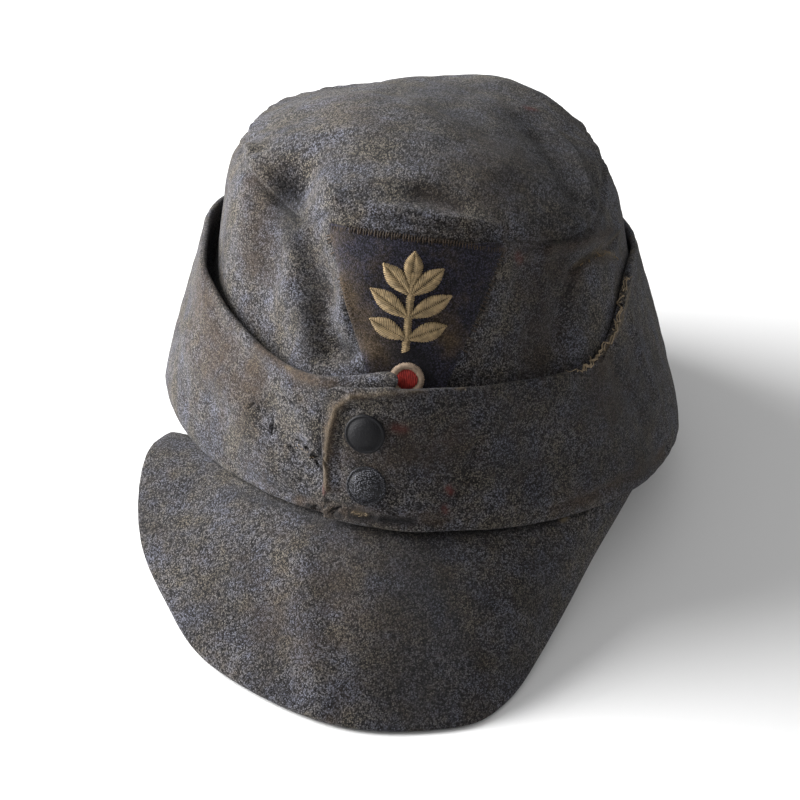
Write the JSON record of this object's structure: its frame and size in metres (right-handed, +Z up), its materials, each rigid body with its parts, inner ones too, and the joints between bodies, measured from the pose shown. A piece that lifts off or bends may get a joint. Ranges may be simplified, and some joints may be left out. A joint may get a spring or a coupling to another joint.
{
  "type": "field cap",
  "caption": "Soft wool field cap with a stiff peak, a turned-up flap buttoned over the front and an embroidered leaf sprig on a dark patch.",
  "frame": {"origin": "middle of the cap's base as it rests, on the surface under it", "axes": "+Z up, -Y to the front of the cap, +X to the wearer's left"},
  "size_m": [0.174, 0.264, 0.1294],
  "materials": {
    "crown_cloth": "worn blue-grey wool",
    "flap_cloth": "worn blue-grey wool with brown mottling",
    "peak_cloth": "worn blue-grey wool over stiff board",
    "patch_cloth": "dark navy cloth",
    "gold_thread": "beige embroidery thread",
    "pale_thread": "pale embroidery thread",
    "red_thread": "red embroidery thread",
    "button_metal": "pebbled dark paint, worn"
  },
  "bodies": {
    "root": {"crown_side": "crown_cloth", "crown_top": "crown_cloth", "flap": "flap_cloth", "peak": "peak_cloth", "badge_patch": "patch_cloth", "sprig": "gold_thread", "roundel_ring": "pale_thread", "roundel_core": "red_thread", "button_upper": "button_metal", "button_lower": "button_metal"}
  },
  "joints": []
}
